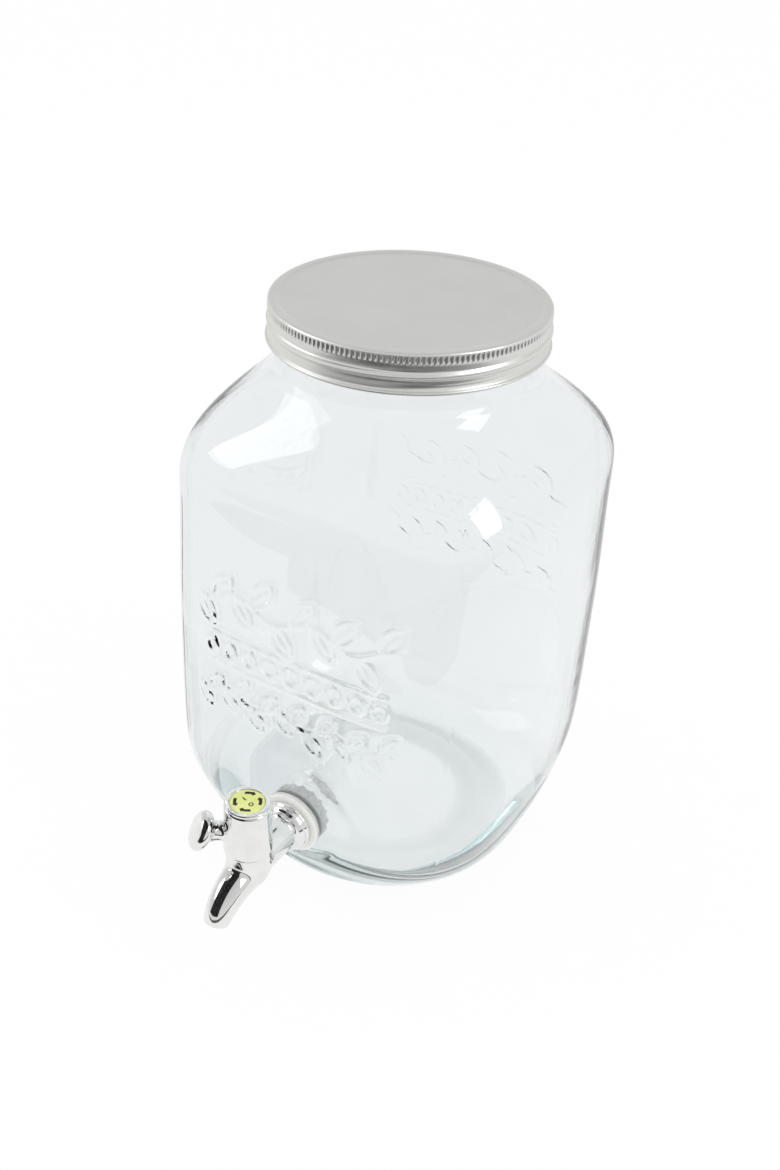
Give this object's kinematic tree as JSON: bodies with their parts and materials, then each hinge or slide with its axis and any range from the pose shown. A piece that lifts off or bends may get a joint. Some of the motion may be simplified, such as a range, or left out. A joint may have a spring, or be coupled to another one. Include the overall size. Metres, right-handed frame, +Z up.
{
  "type": "glass jar dispenser with tap",
  "caption": "Clear glass rounded-square jar dispenser with a tinplate screw lid and a chrome quarter-turn tap low on the front, for pouring a liquid.",
  "frame": {"origin": "middle of the flat base on the jar's axis", "axes": "+Z up along the jar's axis, -Y out of the front where the tap is, +X to the right seen from the front"},
  "size_m": [0.1866, 0.2546, 0.3003],
  "materials": {
    "clear_glass": "polished clear glass",
    "tinplate": "satin tinplate",
    "liner_foam": "foamed liner",
    "chrome": "chrome plating on plastic",
    "silicone": "translucent silicone",
    "nut_plastic": "natural white plastic",
    "plug_plastic": "natural white plastic",
    "black_rubber": "nitrile rubber",
    "screw_steel": "zinc plated steel",
    "lime_plastic": "lime yellow plastic"
  },
  "bodies": {
    "jar": {"glass_jar": "clear_glass", "outer_washer": "silicone", "inner_washer": "silicone", "lock_nut": "nut_plastic", "tap_body": "chrome", "bonnet_ring": "plug_plastic"},
    "liner": {"lid_liner": "liner_foam"},
    "lid": {"lid_shell": "tinplate"},
    "tap_valve": {"tap_handle": "chrome", "handle_cap": "chrome", "indicator_disc": "lime_plastic", "handle_screw": "screw_steel", "valve_plug": "plug_plastic", "plug_oring_lower": "black_rubber", "plug_oring_upper": "black_rubber"}
  },
  "joints": [
    {"name": "lid_lift", "type": "slide", "parent": "jar", "child": "liner", "axis": [0, 0, 1], "range_m": [0, 0.01906]},
    {"name": "lid_turn", "type": "hinge", "parent": "liner", "child": "lid", "pos_m": [0, 0, 0.29], "axis": [0, 0, 1], "range_deg": [0, 1080]},
    {"name": "tap_turn", "type": "hinge", "parent": "jar", "child": "tap_valve", "pos_m": [0, -0.12905, 0.07], "axis": [0, 0, 1], "range_deg": [0, 90]}
  ],
  "couplings": [
    {"joint": "lid_lift", "follows": "lid_turn", "m_per_rad": 0.0010106}
  ]
}
